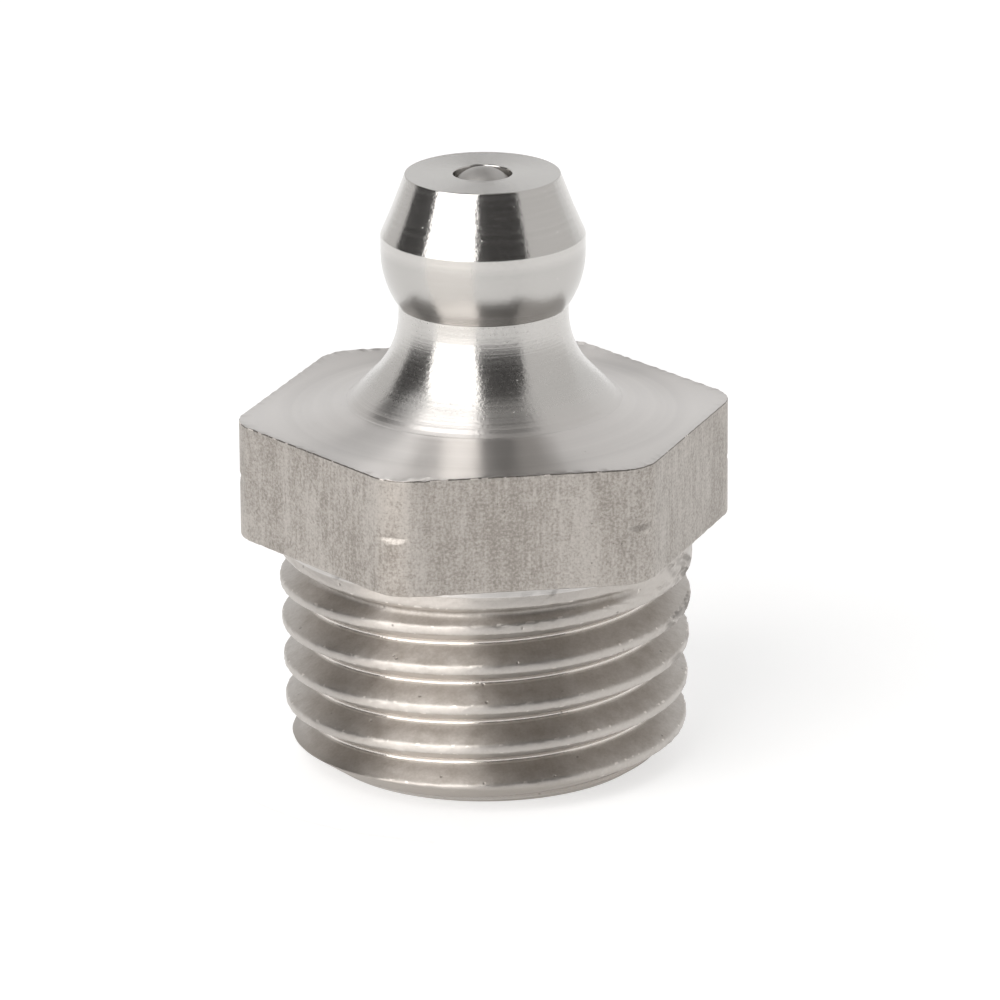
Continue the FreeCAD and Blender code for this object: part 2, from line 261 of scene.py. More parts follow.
def body_profile():
    """The body's outline above the thread, over the head, down the bore and out along the end
    face, as groups of corners (radius, height, share of the hexagon, rounding), each group with
    the finish of the surface that it starts."""
    ring_rows = [RING_HEIGHT + step for step in
                 (-0.3, -0.21, -0.18, -0.09, -0.01, 0.01, 0.09, 0.18, 0.21, 0.3)]
    return (
        ("collar", [
            (SHANK_RADIUS, THREAD_TOP, 0, 0),
            (SHANK_RADIUS, HEXAGON_LOW, 0, 0.07),
            (6.75, HEXAGON_LOW, 0.35, 0),
        ]),
        ("sides", [
            (6.93, HEXAGON_LOW, 1, 0),
            (FLAT, HEXAGON_LOW, 1, 0.05),
            *((FLAT, height, 1, 0) for height in
              (7.9, 8.3, 8.8, *ring_rows, 10.2, 10.7, 11.1)),
        ]),
        ("face", [
            (FLAT, HEXAGON_HIGH, 1, 0.03),
            (6.93, HEXAGON_HIGH, 1, 0),
            (6.75, HEXAGON_HIGH, 0.75, 0),
            (6.5, HEXAGON_HIGH, 0, 0),
            (TOE_RADIUS, HEXAGON_HIGH, 0, 2.5),
        ]),
        ("neck", [
            (FOOT_RADIUS, HEXAGON_HIGH + TOE_HEIGHT, 0, 0.5),
            (3.95, 12.2, 0, 0),
            *arc(HOLLOW_CENTRE, HOLLOW_RADIUS, 225, 180, 12),
            (2.7, 14.8, 0, 0),
            (2.7, 14.93, 0, 0.03),
            (2.735, 14.955, 0, 0.015),
        ]),
        ("head", [
            *arc(BULGE_CENTRE, BULGE_RADIUS, -33, 0, 10),
            (HEAD_RADIUS, 16.9, 0, 0),
            (HEAD_RADIUS, LAND_TOP, 0, 0.12),
            (2.9, 18.03, 0, 0),
            (TOP_RADIUS, HEAD_TOP, 0, 0.045),
        ]),
        ("crown", [
            (2.1, HEAD_TOP, 0, 0),
            (1.4, HEAD_TOP, 0, 0),
            (0.93, HEAD_TOP, 0, 0.05),
        ]),
        ("bore", [
            (0.93, 18.869, 0, 0.02),
            (1.35, 18.14, 0, 0.03),
            (1.35, 13.0, 0, 0),
            (1.35, 7.0, 0, 0),
            (1.35, 0.8, 0, 0.05),
            (0.85, 0.8, 0, 0.05),
            (0.85, 0.3, 0, 0),
        ]),
        ("end", [
            (0.85, 0, 0, 0.1),
            (1.6, 0, 0, 0),
            (3.2, 0, 0, 0),
            (4.6, 0, 0, 0),
            (END_RADIUS, 0, 0, 0),
        ]),
    )


def body_rings(angle):
    """Radius and height of the body's rings above the thread, with the place along the profile
    and the finish of each. A hexagon ring adds its share of the hexagon's reach past the flat,
    and the sides are turned down where the ring meets the corners."""
    groups = body_profile()
    flat_list = [corner for _, corners in groups for corner in corners]
    points = np.array(rounded(flat_list))
    # the finish of a point is that of the group whose corners it lies nearest after
    starts = []
    for name, corners in groups:
        first = np.array(corners[0][:2])
        distance = np.hypot(points[:, 0] - first[0], points[:, 1] - first[1])
        starts.append((name, int(distance.argmin())))
    radius = points[:, 0:1] + points[:, 2:3] * (hexagon_radius(angle) - FLAT)
    height = points[:, 1:2] + 0 * angle
    on_side = (points[:, 2:3] > 0.99) & (height > 8.5) & (height < 10.5)
    ring = RING_RADIUS + np.abs(height - RING_HEIGHT) * RING_SLOPE
    radius = np.where(on_side, np.minimum(radius, ring), radius)
    steps = np.hypot(np.diff(points[:, 0]), np.diff(points[:, 1]))
    along = np.concatenate([[0], np.cumsum(steps)])
    # the hexagon's edges are left with small burrs
    top_edge = np.exp(-((points[:, 1:2] - HEXAGON_HIGH) / 0.03) ** 2) * (points[:, 0:1] > 6.94)
    low_edge = np.exp(-((points[:, 1:2] - HEXAGON_LOW) / 0.05) ** 2) * (points[:, 0:1] > 6.94)
    radius = radius - 0.011 * top_edge * np.abs(waviness(angle, 11, 60, 160))
    height = height + 0.012 * top_edge * waviness(angle, 12, 50, 160)
    radius = radius - 0.014 * low_edge * np.abs(waviness(angle, 13, 40, 150))
    height = height + 0.012 * low_edge * np.clip(waviness(angle, 14, 30, 150), -0.2, 2)
    return radius, height, along, starts


def body_surface():
    """The whole body as one closed skin. Its rings join in order, and its thread is a strip of
    rows sheared one pitch round the axis, so row n at a full turn is row n plus one pitch at
    the start. Rows are held between the end face and the collar, where they share a ring."""
    angle = columns()
    radius, height, along, starts = body_rings(angle)
    ring_count = radius.shape[0]
    ring_index = np.arange(ring_count * COLUMNS).reshape(ring_count, COLUMNS)
    ring_index = np.hstack([ring_index, ring_index[:, :1]])
    spots = [np.stack([radius * np.cos(angle), radius * np.sin(angle), height], -1).reshape(-1, 3)]

    per_pitch = len(PITCH_ROWS)
    turns = np.arange(-1, 7)
    row_share = (turns[:, None] + PITCH_ROWS[None, :]).reshape(-1)
    rows = GROOVE_START + PITCH * (row_share[:, None] + angle[None, :] / FULL_TURN)
    margin = 0.004
    inside = (rows > margin) & (rows < THREAD_TOP - margin)
    low, high = rows <= margin, rows >= THREAD_TOP - margin
    number = np.cumsum(inside.reshape(-1)).reshape(rows.shape) - 1 + ring_count * COLUMNS
    row_index = np.where(inside, number, 0)
    row_index = np.where(low, ring_index[-1, :-1], row_index)
    row_index = np.where(high, ring_index[0, :-1], row_index)
    closing = np.concatenate(
        [row_index[per_pitch:, 0], np.full(per_pitch, ring_index[0, 0])]
    )
    row_index = np.hstack([row_index, closing[:, None]])
    wide = thread_radius(angle[None, :] + 0 * rows, np.clip(rows, 0, THREAD_TOP))
    thread = np.stack([wide * np.cos(angle), wide * np.sin(angle), rows], -1)
    spots.append(thread[inside])
    cut = groove_depth(angle[None, :] + 0 * rows, rows)[inside] / GROOVE_DEPTH

    finishes = np.zeros(ring_count - 1, int)
    for place, (_, start) in enumerate(starts):
        finishes[max(start, 0):] = place
    ring_faces, ring_kinds = strip_triangles(ring_index, finishes)
    thread_faces, thread_kinds = strip_triangles(
        row_index, np.full(len(row_share) - 1, len(starts))
    )
    faces = np.vstack([ring_faces, thread_faces])
    kinds = np.concatenate([ring_kinds, thread_kinds])
    distance = np.concatenate([np.repeat(along, COLUMNS), rows[inside]])
    depth = np.concatenate([np.zeros(ring_count * COLUMNS), cut])
    return np.vstack(spots), faces, kinds, {"along": distance, "groove": depth}


def strip_triangles(index, kinds):
    """Two triangles between each pair of neighbours on a grid of point numbers, without those
    that have shrunk to a line, and the finish of each."""
    first, second = index[:-1, :-1], index[:-1, 1:]
    third, fourth = index[1:, 1:], index[1:, :-1]
    faces = np.concatenate([
        np.stack([first, second, third], -1).reshape(-1, 3),
        np.stack([first, third, fourth], -1).reshape(-1, 3),
    ])
    finish = np.tile(np.repeat(kinds, index.shape[1] - 1), 2)
    kept = (
        (faces[:, 0] != faces[:, 1])
        & (faces[:, 1] != faces[:, 2])
        & (faces[:, 2] != faces[:, 0])
    )
    return faces[kept], finish[kept]


def ball_surface(radius, height, around=128, down=64):
    """A closed sphere from its height's and its turn's angle: each ring's radius is the ball's
    times the sine of the angle from the pole, with one point at each pole."""
    angle = np.arange(around) * FULL_TURN / around
    fall = np.linspace(0, math.pi, down + 1)[1:-1]
    ring = np.stack([
        radius * np.sin(fall)[:, None] * np.cos(angle),
        radius * np.sin(fall)[:, None] * np.sin(angle),
        height - radius * np.cos(fall)[:, None] + 0 * angle,
    ], -1).reshape(-1, 3)
    poles = np.array([[0, 0, height - radius], [0, 0, height + radius]])
    rings = down - 1
    middle = np.arange(rings * around).reshape(rings, around)
    low, high = rings * around, rings * around + 1
    index = np.vstack([np.full(around, low), middle, np.full(around, high)])
    index = np.hstack([index, index[:, :1]])
    faces, kinds = strip_triangles(index, np.zeros(down, int))
    return np.vstack([ring, poles]), faces, kinds, {}


def spring_surface(low, high, coil, wire, turns, around=14, steps=1100):
    """A round wire carried along a helix. The wire's centre climbs slowly over the end coils,
    which lie closed, and evenly between them. Each end closes on one point."""
    share = np.linspace(0, 1, steps)
    turn = share * turns
    closed = 2.1 * wire
    free = (high - low - 2 * closed) / (turns - 2)
    climb = np.clip(turn, 0, 1) * closed + np.clip(turn - 1, 0, turns - 2) * free
    climb = climb + np.clip(turn - turns + 1, 0, 1) * closed
    smooth = np.convolve(np.pad(climb, 20, mode="reflect", reflect_type="odd"),
                         np.ones(41) / 41, mode="valid")
    angle = turn * FULL_TURN
    centre = np.stack([coil * np.cos(angle), coil * np.sin(angle), low + smooth], -1)
    ahead = np.gradient(centre, axis=0)
    ahead = ahead / np.linalg.norm(ahead, axis=1, keepdims=True)
    outward = np.stack([np.cos(angle), np.sin(angle), 0 * angle], -1)
    across = np.cross(ahead, outward)
    across = across / np.linalg.norm(across, axis=1, keepdims=True)
    round_wire = np.arange(around) * FULL_TURN / around
    section = (
        outward[:, None, :] * np.cos(round_wire)[None, :, None]
        + across[:, None, :] * np.sin(round_wire)[None, :, None]
    )
    skin = centre[:, None, :] + wire * section
    spots = np.vstack([skin.reshape(-1, 3), centre[:1], centre[-1:]])
    middle = np.arange(steps * around).reshape(steps, around)
    start, end = steps * around, steps * around + 1
    index = np.vstack([np.full(around, start), middle, np.full(around, end)])
    index = np.hstack([index, index[:, :1]])
    faces, kinds = strip_triangles(index, np.zeros(steps + 1, int))
    distance = np.repeat(angle * coil, around)
    distance = np.concatenate([distance, [0, distance[-1]]])
    return spots, faces[:, ::-1], kinds, {"along": distance}


def add_piece(name, surface, materials, body, node):
    """Put a surface worked out in millimetres into the scene as a finished piece that rides a
    body, takes a material slot and stands for a CAD node."""
    spots, faces, kinds, measures = surface
    if not np.isfinite(spots).all():
        raise RuntimeError(name + ": a point could not be worked out")
    mesh = bpy.data.meshes.new(name)
    mesh.vertices.add(len(spots))
    mesh.vertices.foreach_set("co", (spots * MM).astype(np.float32).reshape(-1))
    mesh.loops.add(len(faces) * 3)
    mesh.loops.foreach_set("vertex_index", faces.astype(np.int32).reshape(-1))
    mesh.polygons.add(len(faces))
    mesh.polygons.foreach_set("loop_start", np.arange(0, len(faces) * 3, 3, dtype=np.int32))
    mesh.polygons.foreach_set("loop_total", np.full(len(faces), 3, np.int32))
    mesh.polygons.foreach_set("material_index", kinds.astype(np.int32))
    mesh.polygons.foreach_set("use_smooth", np.ones(len(faces), bool))
    for measure, values in measures.items():
        layer = mesh.attributes.new(measure, "FLOAT", "POINT")
        layer.data.foreach_set("value", values.astype(np.float32))
    mesh.update(calc_edges=True)
    if mesh.validate():
        raise RuntimeError(name + ": its faces do not join properly")
    for material in materials:
        mesh.materials.append(material)
    widest = float(np.abs(spots[:, :2]).max()) * MM
    middle = float(spots[:, 2].max() + spots[:, 2].min()) / 2 * MM
    mesh.use_auto_texspace = False
    mesh.texspace_location = (0, 0, middle)
    mesh.texspace_size = (widest, widest, float(np.ptp(spots[:, 2])) / 2 * MM)
    piece = bpy.data.objects.new(name, mesh)
    bpy.context.scene.collection.objects.link(piece)
    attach(piece, body)
    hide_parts(node)
    return piece


class Value:
    """One number in a finish's nodes. Python's arithmetic on it adds the Math nodes."""

    def __init__(self, finish, socket):
        self.finish = finish
        self.socket = socket

    def maths(self, operation, *others, first=None):
        """The result of a Math node on this number and the others."""
        given = [self, *others] if first is None else [first, self]
        inputs = dict(enumerate(given))
        node = self.finish.node("ShaderNodeMath", {"operation": operation}, inputs)
        return Value(self.finish, node.outputs[0])

    def __add__(self, other):
        return self.maths("ADD", other)

    def __radd__(self, other):
        return self.maths("ADD", other)

    def __sub__(self, other):
        return self.maths("SUBTRACT", other)

    def __rsub__(self, other):
        return self.maths("SUBTRACT", first=other)

    def __mul__(self, other):
        return self.maths("MULTIPLY", other)

    def __rmul__(self, other):
        return self.maths("MULTIPLY", other)

    def size(self):
        return self.maths("ABSOLUTE")

    def between(self, low, high):
        """0 below low, 1 above high and a straight line between."""
        inputs = {"Value": self, "From Min": low, "From Max": high}
        node = self.finish.node("ShaderNodeMapRange", {"clamp": True}, inputs)
        return Value(self.finish, node.outputs["Result"])


class Finish:
    """A material's node tree, built from the surface's own place in millimetres."""

    def __init__(self, name, viewport):
        self.material = bpy.data.materials.new(name)
        self.material.use_nodes = True
        self.material.diffuse_color = (*viewport, 1)
        self.tree = self.material.node_tree
        self.tree.nodes.clear()
        where = self.node("ShaderNodeTexCoord").outputs["Object"]
        self.place = self.scaled(where, (1000, 1000, 1000))
        split = self.node("ShaderNodeSeparateXYZ", {}, {0: self.place})
        self.x, self.y, self.z = (Value(self, split.outputs[axis]) for axis in range(3))

    def node(self, kind, settings=None, inputs=None):
        """Add a node: its settings first, then its sockets' values or links."""
        made = self.tree.nodes.new(kind)
        for name, setting in (settings or {}).items():
            setattr(made, name, setting)
        for name, given in (inputs or {}).items():
            if isinstance(given, Value):
                self.tree.links.new(given.socket, made.inputs[name])
            elif isinstance(given, bpy.types.NodeSocket):
                self.tree.links.new(given, made.inputs[name])
            else:
                made.inputs[name].default_value = given
        return made

    def scaled(self, vector, factors):
        """A vector stretched by a factor along each axis."""
        inputs = {0: vector, 1: factors}
        return self.node("ShaderNodeVectorMath", {"operation": "MULTIPLY"}, inputs).outputs[0]

    def measure(self, name):
        """A number that the piece stores at its points."""
        settings = {"attribute_name": name}
        return Value(self, self.node("ShaderNodeAttribute", settings).outputs["Fac"])

    def noise(self, scale, detail=2.0, vector=None, roughness=0.5):
        """Soft noise about 0.5 through the solid, its scale in waves a millimetre."""
        inputs = {"Vector": vector or self.place, "Scale": scale,
                  "Detail": detail, "Roughness": roughness}
        node = self.node("ShaderNodeTexNoise", {"noise_dimensions": "3D"}, inputs)
        return Value(self, node.outputs["Fac"])

    def lines(self, along, scale, detail=3.0, roughness=0.6):
        """Noise about 0.5 that changes only with one number, as turning marks do."""
        inputs = {"W": along, "Scale": scale, "Detail": detail, "Roughness": roughness}
        node = self.node("ShaderNodeTexNoise", {"noise_dimensions": "1D"}, inputs)
        return Value(self, node.outputs["Fac"])

    def pits(self, scale, size, vector=None):
        """1 in scattered round specks and 0 elsewhere."""
        settings = {"voronoi_dimensions": "3D", "feature": "F1"}
        inputs = {"Vector": vector or self.place, "Scale": scale}
        node = self.node("ShaderNodeTexVoronoi", settings, inputs)
        near = Value(self, node.outputs["Distance"])
        return 1 - near.between(size * 0.6, size)

    def blend(self, share, first, second):
        """A colour between two others."""
        settings = {"data_type": "RGBA", "blend_type": "MIX"}
        first = first if not isinstance(first, tuple) else (*first, 1)
        second = second if not isinstance(second, tuple) else (*second, 1)
        node = self.node("ShaderNodeMix", settings, {0: share, 6: first, 7: second})
        return node.outputs[2]

    def relief(self, height):
        """The normal that a relief in millimetres gives."""
        inputs = {"Strength": 1.0, "Distance": MM, "Height": height}
        return self.node("ShaderNodeBump", {}, inputs).outputs["Normal"]

    def finished(self, colour, roughness, normal, grain=0.0, turned=ROUND_GRAIN):
        """Close the tree with a metal shader: grain is how far the highlights are drawn out
        across the marks, and turned is which way the marks run, in turns."""
        inputs = {"Base Color": colour, "Roughness": roughness, "Normal": normal,
                  "Metallic": 1.0, "Anisotropic": grain, "Anisotropic Rotation": turned}
        shader = self.node("ShaderNodeBsdfPrincipled", {}, inputs)
        self.node("ShaderNodeOutputMaterial", {}, {"Surface": shader.outputs[0]})
        return self.material


def tint(colour, factor):
    """A colour made lighter or darker."""
    return tuple(min(1.0, part * factor) for part in colour)


def turned_steel(settings):
    """Fine turned finish of the head and the neck: rings of turning marks, coarser at the foot,
    a slight grain, a few bright nicks, and painted shade under the head's bulge."""
    colour = tuple(settings.turned_colour)
    finish = Finish("turned_steel", colour)
    along = finish.measure("along")
    foot = 1 - finish.z.between(11.76, 12.6)
    fine = finish.lines(along, 6.5, 2.0, 0.6)
    coarse = finish.lines(along, 3.5, 3.0, 0.7)
    grain = finish.noise(9.0, 2.0, roughness=0.6)
    smudge = finish.noise(0.5, 3.0)
    nicks = finish.pits(2.2, 0.05)
    neck = 1 - finish.z.between(14.9, 15.0)
    height = fine * (neck * 0.0024 + 0.0012) + coarse * foot * 0.022 + grain * 0.004
    height = height - nicks * 0.004
    shade = 0.45 * smudge + 0.25 * fine + 0.3 * coarse * foot
    base = finish.blend(shade.between(0.15, 0.75), tint(colour, 0.92), tint(colour, 1.05))
    # Painted shade: the underside of the head's bulge, from 14.9 to 17 mm up, is painted halfway
    # towards a darker copy of the steel.
    under = finish.z.between(14.9, 15.2) * (1 - finish.z.between(16.7, 17.0))
    base = finish.blend(under * 0.5, base, tint(colour, 0.72))
    base = finish.blend(foot, base, tint(tuple(settings.faced_colour), 0.92))
    base = finish.blend(nicks, base, tint(colour, 1.3))
    rough = settings.turned_roughness + (fine - 0.5) * 0.08 + (grain - 0.5) * 0.12 + neck * 0.05
    rough = rough + foot * 0.12
    return finish.finished(base, rough, finish.relief(height), grain=0.8)


def faced_steel(settings):
    """Faced top of the hexagon: fine circular feed marks that draw the highlights out into fans
    from the axis."""
    colour = tuple(settings.faced_colour)
    finish = Finish("faced_steel", colour)
    along = finish.measure("along")
    fine = finish.lines(along, 12.0, 3.0, 0.7)
    coarse = finish.lines(along, 1.6, 2.0)
    grain = finish.noise(6.0, 3.0, roughness=0.6)
    nicks = finish.pits(1.3, 0.06)
    height = fine * 0.0012 + grain * 0.0006 - nicks * 0.006
    base = finish.blend(coarse.between(0.3, 0.7), tint(colour, 0.96), tint(colour, 1.03))
    rough = settings.faced_roughness + (fine - 0.5) * 0.05 + (grain - 0.5) * 0.08
    return finish.finished(base, rough, finish.relief(height), grain=1.0)


def drawn_steel(settings):
    """Drawn sides of the hexagon: mottled brown-grey scale with fine lines up and down it, and
    bright wear at the edges, with a thin dark line and painted glints along the top edge."""
    colour, stain = tuple(settings.drawn_colour), tuple(settings.stain_colour)
    stain = tint(stain, 0.75)
    finish = Finish("drawn_steel", colour)
    stretched = finish.scaled(finish.place, (1, 1, 0.09))
    streaks = finish.noise(7.0, 4.0, stretched, 0.65)
    broad_place = finish.scaled(finish.place, (1, 1, 0.3))
    broad = finish.noise(0.75, 3.0, broad_place, 0.55)
    mottle = finish.noise(2.6, 4.0, roughness=0.7)
    fine = finish.noise(11.0, 3.0, roughness=0.7)
    pits = finish.pits(1.9, 0.07)
    middle = finish.z - 9.5
    edge = middle.size().between(1.8, 1.9)
    # Along the top edge: a thin very dark line just under it, broken by painted highlights, bright
    # specks standing in for light caught on the burr.
    brim = finish.z.between(11.345, 11.365) * (1 - finish.z.between(11.385, 11.395))
    glint = finish.noise(3.5, 1.0).between(0.60, 0.64)
    dirt = (0.25 * mottle + 0.35 * broad + 0.25 * streaks + 0.15 * fine).between(0.43, 0.56)
    base = finish.blend(dirt, stain, colour)
    base = finish.blend(fine.between(0.45, 0.7) * 0.5, base, tint(colour, 1.3))
    base = finish.blend((1 - fine.between(0.3, 0.45)) * 0.4, base, tint(stain, 0.7))
    base = finish.blend(pits * 0.6, base, tint(stain, 0.5))
    base = finish.blend(edge * 0.25, base, tint(colour, 1.2))
    base = finish.blend(brim * (1 - glint) * 0.75, base, tint(stain, 0.35))
    base = finish.blend(brim * glint, base, tint(colour, 1.6))
    height = streaks * 0.010 + mottle * 0.014 + fine * 0.004 - pits * 0.01
    rough = settings.drawn_roughness + (mottle - 0.5) * 0.2 - edge * 0.08
    return finish.finished(base, rough, finish.relief(height), grain=0.45, turned=UPRIGHT_GRAIN)


def cut_steel(settings):
    """Cut thread: brown-grey flanks with tool marks along them and brighter, worn crests, with a
    painted highlight along the groove's root, painted glints on the crests' edges, and the
    bottom end painted darker.
    """
    colour, stain = tuple(settings.thread_colour), tuple(settings.stain_colour)
    finish = Finish("cut_steel", colour)
    along = finish.measure("along")
    deep = finish.measure("groove")
    marks = finish.lines(along, 9.0, 3.0, 0.7)
    mottle = finish.noise(1.8, 4.0, roughness=0.65)
    fine = finish.noise(10.0, 3.0, roughness=0.7)
    nicks = finish.pits(1.2, 0.07)
    crest = (1 - deep.between(0.0, 0.07)) * finish.z.between(0.7, 1.1)
    root = deep.between(0.88, 0.96)
    dirt = (0.6 * mottle + 0.4 * fine).between(0.32, 0.66)
    flank = finish.blend(dirt, stain, colour)
    lead = 1 - finish.z.between(0.75, 0.95)
    base = finish.blend(crest * (0.5 + 0.5 * fine), flank, tint(colour, 1.1))
    # Painted highlight: the groove's root is painted much lighter, standing in for the lamp's
    # reflection along it.
    base = finish.blend(root * 0.8, base, tint(colour, 1.5))
    # Painted highlights: bright specks on the crests' edges, standing in for light caught on
    # burrs.
    rim = deep.between(0.01, 0.03) * (1 - deep.between(0.07, 0.1))
    glint = finish.noise(4.0, 1.0).between(0.62, 0.68)
    base = finish.blend(rim * glint, base, tint(colour, 1.35))
    # Painted darker towards the bottom: the thread's end below 0.95 mm, over the chamfer.
    base = finish.blend(lead * 0.85, base, tint(stain, 0.9))
    base = finish.blend(nicks * 0.5, base, tint(stain, 0.5))
    height = marks * 0.003 + mottle * 0.01 + fine * 0.003 - nicks * 0.012
    rough = settings.thread_roughness + (mottle - 0.5) * 0.16 - root * 0.18
    return finish.finished(base, rough, finish.relief(height), grain=0.85)


def bored_steel(settings):
    """Drilled grease way: painted darker, as shade inside the bore, with rings left by the drill.
    """
    # Painted shade: the bore's steel is the head's steel at 0.6 of its brightness.
    colour = tint(tuple(settings.turned_colour), 0.6)
    finish = Finish("bored_steel", colour)
    rings = finish.lines(finish.z, 6.0, 3.0)
    grain = finish.noise(8.0, 3.0)
    base = finish.blend(rings.between(0.3, 0.7), tint(colour, 0.75), colour)
    height = rings * 0.004 + grain * 0.002
    return finish.finished(base, 0.35 + (grain - 0.5) * 0.2, finish.relief(height), grain=0.3)


def ball_steel(settings):
    """Ground ball: bright, with faint cloudy wear where the gun has pressed on it."""
    colour = tuple(settings.ball_colour)
    finish = Finish("ground_ball_steel", colour)
    cloud = finish.noise(1.6, 3.0)
    grain = finish.noise(14.0, 3.0, roughness=0.7)
    base = finish.blend(cloud.between(0.3, 0.7), tint(colour, 0.86), tint(colour, 1.04))
    height = grain * 0.0012 + cloud * 0.001
    rough = settings.ball_roughness + (cloud - 0.5) * 0.12 + (grain - 0.5) * 0.08
    return finish.finished(base, rough, finish.relief(height))


def spring_steel(settings):
    """Drawn spring wire: darker, with die lines along the wire."""
    colour = tuple(settings.spring_colour)
    finish = Finish("spring_wire_steel", colour)
    along = finish.measure("along")
    bands = finish.lines(along, 0.8, 2.0)
    grain = finish.noise(9.0, 4.0, roughness=0.7)
    base = finish.blend(bands.between(0.3, 0.7), tint(colour, 0.8), tint(colour, 1.1))
    rough = 0.32 + (grain - 0.5) * 0.2
    return finish.finished(base, rough, finish.relief(grain * 0.003))


def stage_piece(name, spots, faces, material, seen):
    """Add a floor, a card or a lamp that isn't part of the nipple."""
    mesh = bpy.data.meshes.new(name)
    mesh.from_pydata(spots.tolist(), [], faces.tolist())
    mesh.materials.append(material)
    mesh.update()
    made = bpy.data.objects.new(name, mesh)
    made.visible_camera = seen
    bpy.context.scene.collection.objects.link(made)
    return made


def compass(facing):
    """Unit arrows level ahead, level to the right and upwards, for a facing direction."""
    ahead = np.array([math.sin(facing), -math.cos(facing), 0])
    aside = np.array([math.cos(facing), math.sin(facing), 0])
    return ahead, aside, np.array([0.0, 0.0, 1.0])


def patch_faces(rows, across):
    """Four-sided faces of a grid of points, row by row."""
    index = np.arange(rows * across).reshape(rows, across)
    faces = np.stack([index[:-1, :-1], index[1:, :-1], index[1:, 1:], index[:-1, 1:]], -1)
    return faces.reshape(-1, 4)


def dome_patch(low_edge, high_edge, rise_to, reach, facing):
    """A patch of a dome about the nipple. Its edges run from the table, at two angles measured
    from the facing direction, up to two other angles at a height, all in degrees."""
    across, rows = 17, 13
    share = np.linspace(0, 1, rows)[:, None]
    left = low_edge[0] + (high_edge[0] - low_edge[0]) * share
    right = low_edge[1] + (high_edge[1] - low_edge[1]) * share
    turn = np.radians(left + (right - left) * np.linspace(0, 1, across))
    rise = np.radians(rise_to) * share
    ahead, aside, upward = compass(facing)
    flat = np.cos(turn)[..., None] * ahead + np.sin(turn)[..., None] * aside
    spots = np.cos(rise)[..., None] * flat + np.sin(rise)[..., None] * upward
    return spots.reshape(-1, 3) * reach, patch_faces(rows, across)


def table_patch(angles, reaches, facing):
    """A patch of light just over the table, between two angles and two distances."""
    across, rows = 9, 9
    turn = np.radians(np.linspace(*angles, across))
    away = np.geomspace(*reaches, rows)[:, None]
    ahead, aside, upward = compass(facing)
    flat = np.cos(turn)[:, None] * ahead + np.sin(turn)[:, None] * aside
    spots = away[..., None] * flat + PATCH_LIFT * upward
    return spots.reshape(-1, 3), patch_faces(rows, across)


def fan_patch(angles, tilts, reach, facing, elevation):
    """The part of the sky that circular marks on a level face mirror to the camera: the line to
    the camera turned over about a normal, whose angle round the axis and tilt from upright run
    over the patch, all in degrees."""
    across, rows = 9, 15
    angle, tilt = np.meshgrid(np.radians(np.linspace(*angles, across)),
                              np.radians(np.linspace(*tilts, rows)))
    normal = np.stack([
        np.sin(tilt) * np.cos(angle), np.sin(tilt) * np.sin(angle), np.cos(tilt)
    ], -1)
    view = np.array([math.cos(elevation), 0, math.sin(elevation)])
    mirrored = 2 * (normal @ view)[..., None] * normal - view
    spots = mirrored @ np.stack(compass(facing))
    return spots.reshape(-1, 3) * reach, patch_faces(rows, across)


def lamp_material(name, colour, strength):
    """An evenly glowing panel."""
    finish = Finish(name, colour)
    inputs = {"Color": (*colour, 1), "Strength": strength}
    glow = finish.node("ShaderNodeEmission", {}, inputs)
    finish.node("ShaderNodeOutputMaterial", {}, {"Surface": glow.outputs[0]})
    return finish.material


def floor_material(colour, glow):
    """Matt pale light table, which can be seen through from underneath."""
    finish = Finish("pale_table", colour)
    inputs = {"Base Color": (*colour, 1), "Roughness": 0.7,
              "Emission Color": (1, 1, 1, 1), "Emission Strength": glow}
    table = finish.node("ShaderNodeBsdfPrincipled", {}, inputs)
    clear = finish.node("ShaderNodeBsdfTransparent")
    below = finish.node("ShaderNodeNewGeometry").outputs["Backfacing"]
    inputs = {0: below, 1: table.outputs[0], 2: clear.outputs[0]}
    mixed = finish.node("ShaderNodeMixShader", {}, inputs)
    finish.node("ShaderNodeOutputMaterial", {}, {"Surface": mixed.outputs[0]})
    return finish.material


def camera_turn(azimuth, elevation, roll, aim):
    """The camera's axes as a matrix's columns. Its back points from the nipple to it, it is
    rolled about its own axis, and it then turns so that the target lies off its centre by the
    aim, two small slopes across and up."""
    back = Vector((
        math.sin(azimuth) * math.cos(elevation),
        -math.cos(azimuth) * math.cos(elevation),
        math.sin(elevation),
    ))
    right = Vector((math.cos(azimuth), math.sin(azimuth), 0))
    up = back.cross(right)
    right, up = (
        right * math.cos(roll) + up * math.sin(roll),
        up * math.cos(roll) - right * math.sin(roll),
    )
    rows = Matrix((right, up, back))
    off_centre = Vector((aim[0], aim[1], -1)).normalized()
    turn = Vector((0, 0, -1)).rotation_difference(off_centre).to_matrix()
    return (turn @ rows).transposed(), back


def colour_property(name, description, default):
    return bpy.props.FloatVectorProperty(
        name=name, description=description, default=default,
        subtype="COLOR", size=3, min=0, max=1,
    )


def roughness_property(name, description, default):
    return bpy.props.FloatProperty(
        name=name, description=description, default=default,
        subtype="FACTOR", min=0, max=1,
    )


